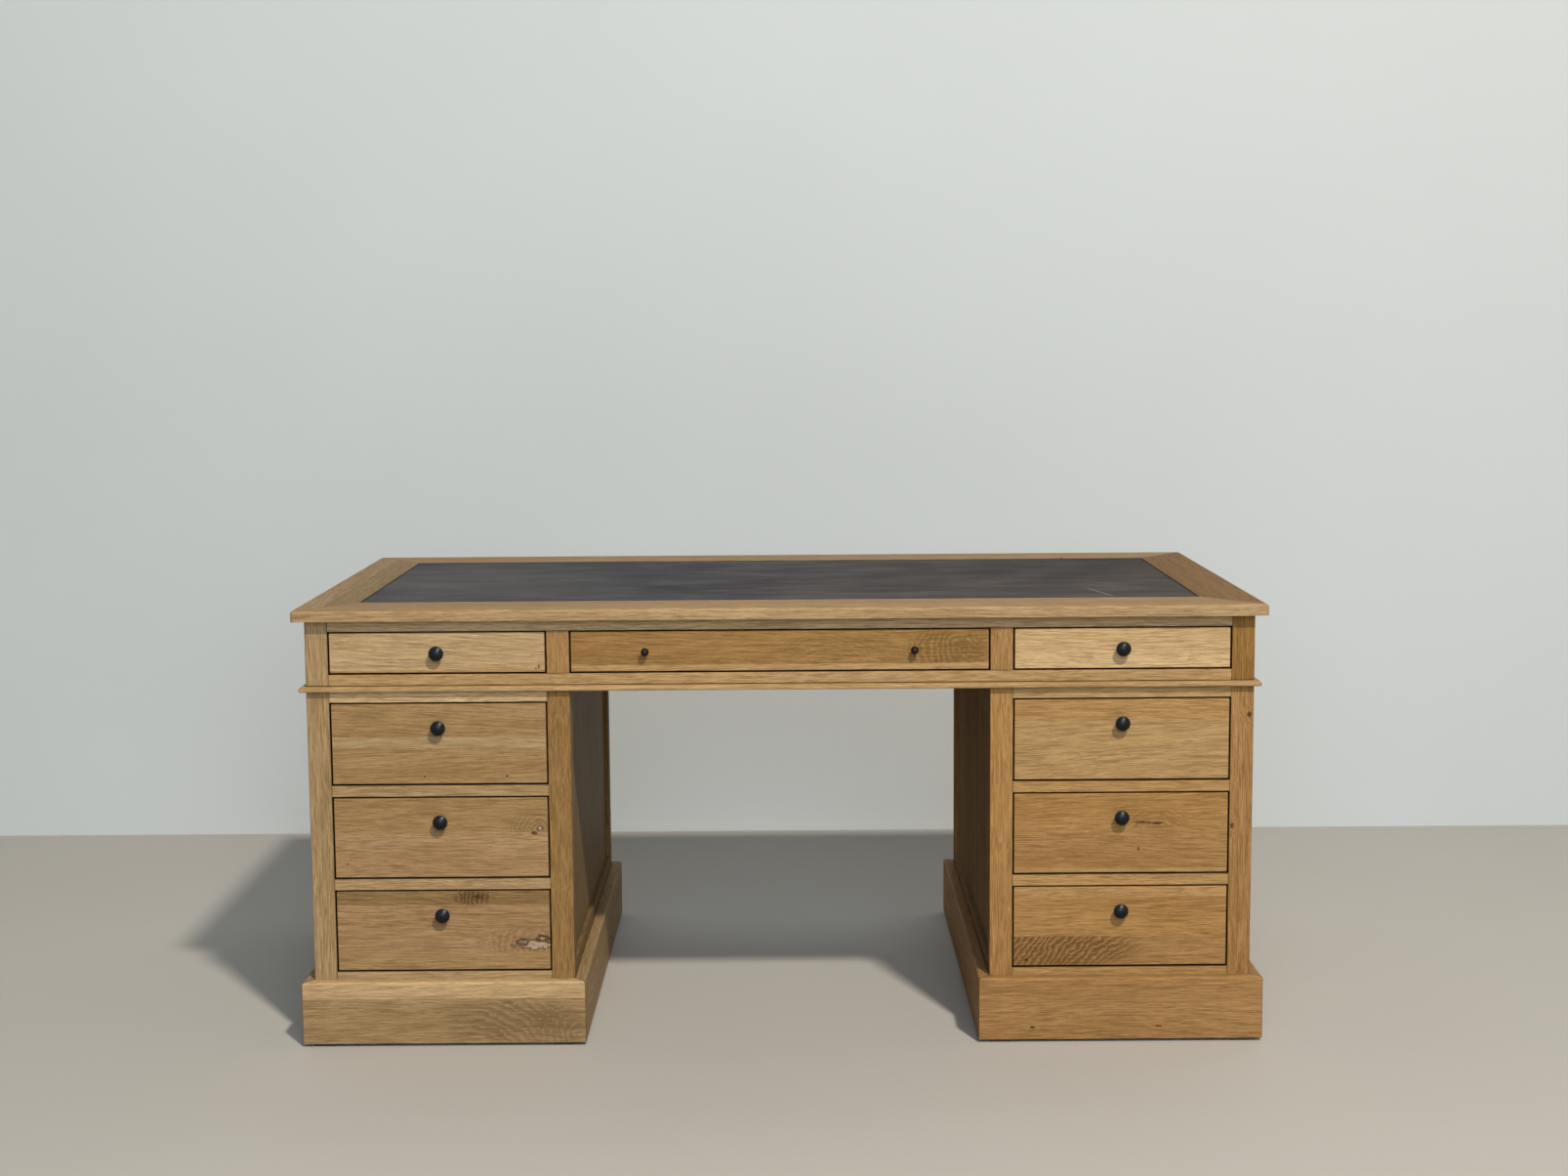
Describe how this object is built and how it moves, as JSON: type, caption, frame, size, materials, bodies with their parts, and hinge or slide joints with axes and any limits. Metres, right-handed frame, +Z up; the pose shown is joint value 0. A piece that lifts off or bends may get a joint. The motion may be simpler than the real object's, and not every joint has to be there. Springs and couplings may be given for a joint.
{
  "type": "desk",
  "caption": "Kneehole pedestal desk of solid oak with a mitred top round a black leather inset, flush inset drawers in two pedestals and a frieze, round-nosed bead and plinths.",
  "frame": {"origin": "on the floor, under the middle of the desk's bounding box", "axes": "+X along the desk's length to its right seen from the sitter's side, -Y to the drawer fronts, +Z up"},
  "size_m": [1.7, 0.9, 0.78],
  "materials": {
    "oak": "light oiled oak, satin",
    "inner_wood": "planed oak, unfinished",
    "leather": "black leather, fine grain, semi-matt",
    "blackened_metal": "blackened metal, satin",
    "glide": "dark matt"
  },
  "bodies": {
    "desk": {"drawer_stops": "inner_wood", "frieze_back_board": "oak", "frieze_bead": "oak", "frieze_corner_posts": "oak", "frieze_end_boards": "oak", "frieze_front_rails": "oak", "frieze_front_stiles": "oak", "frieze_partitions": "inner_wood", "frieze_runners": "inner_wood", "glides": "glide", "leather_inset": "leather", "left_pedestal_bottom_board": "inner_wood", "left_pedestal_frame_rails": "oak", "left_pedestal_front_rails": "oak", "left_pedestal_panels": "oak", "left_pedestal_plinth": "oak", "left_pedestal_posts": "oak", "left_pedestal_runners": "inner_wood", "loose_tenons": "inner_wood", "right_pedestal_bottom_board": "inner_wood", "right_pedestal_frame_rails": "oak", "right_pedestal_front_rails": "oak", "right_pedestal_panels": "oak", "right_pedestal_plinth": "oak", "right_pedestal_posts": "oak", "right_pedestal_runners": "inner_wood", "top_back_board": "oak", "top_core_panel": "inner_wood", "top_front_board": "oak", "top_glue_blocks": "inner_wood", "top_left_board": "oak", "top_right_board": "oak"},
    "left_upper_drawer": {"left_upper_drawer_front": "oak", "left_upper_drawer_box": "inner_wood", "left_upper_drawer_knob": "blackened_metal"},
    "left_middle_drawer": {"left_middle_drawer_front": "oak", "left_middle_drawer_box": "inner_wood", "left_middle_drawer_knob": "blackened_metal"},
    "left_lower_drawer": {"left_lower_drawer_front": "oak", "left_lower_drawer_box": "inner_wood", "left_lower_drawer_knob": "blackened_metal"},
    "right_upper_drawer": {"right_upper_drawer_front": "oak", "right_upper_drawer_box": "inner_wood", "right_upper_drawer_knob": "blackened_metal"},
    "right_middle_drawer": {"right_middle_drawer_front": "oak", "right_middle_drawer_box": "inner_wood", "right_middle_drawer_knob": "blackened_metal"},
    "right_lower_drawer": {"right_lower_drawer_front": "oak", "right_lower_drawer_box": "inner_wood", "right_lower_drawer_knob": "blackened_metal"},
    "left_top_drawer": {"left_top_drawer_front": "oak", "left_top_drawer_box": "inner_wood", "left_top_drawer_knob": "blackened_metal"},
    "right_top_drawer": {"right_top_drawer_front": "oak", "right_top_drawer_box": "inner_wood", "right_top_drawer_knob": "blackened_metal"},
    "centre_drawer": {"centre_drawer_front": "oak", "centre_drawer_box": "inner_wood", "centre_drawer_knobs": "blackened_metal"}
  },
  "joints": [
    {"name": "left_upper_drawer_slide", "type": "slide", "parent": "desk", "child": "left_upper_drawer", "axis": [0, -1, 0], "range_m": [0, 0.42]},
    {"name": "left_middle_drawer_slide", "type": "slide", "parent": "desk", "child": "left_middle_drawer", "axis": [0, -1, 0], "range_m": [0, 0.42]},
    {"name": "left_lower_drawer_slide", "type": "slide", "parent": "desk", "child": "left_lower_drawer", "axis": [0, -1, 0], "range_m": [0, 0.42]},
    {"name": "right_upper_drawer_slide", "type": "slide", "parent": "desk", "child": "right_upper_drawer", "axis": [0, -1, 0], "range_m": [0, 0.42]},
    {"name": "right_middle_drawer_slide", "type": "slide", "parent": "desk", "child": "right_middle_drawer", "axis": [0, -1, 0], "range_m": [0, 0.42]},
    {"name": "right_lower_drawer_slide", "type": "slide", "parent": "desk", "child": "right_lower_drawer", "axis": [0, -1, 0], "range_m": [0, 0.42]},
    {"name": "left_top_drawer_slide", "type": "slide", "parent": "desk", "child": "left_top_drawer", "axis": [0, -1, 0], "range_m": [0, 0.42]},
    {"name": "right_top_drawer_slide", "type": "slide", "parent": "desk", "child": "right_top_drawer", "axis": [0, -1, 0], "range_m": [0, 0.42]},
    {"name": "centre_drawer_slide", "type": "slide", "parent": "desk", "child": "centre_drawer", "axis": [0, -1, 0], "range_m": [0, 0.42]}
  ]
}
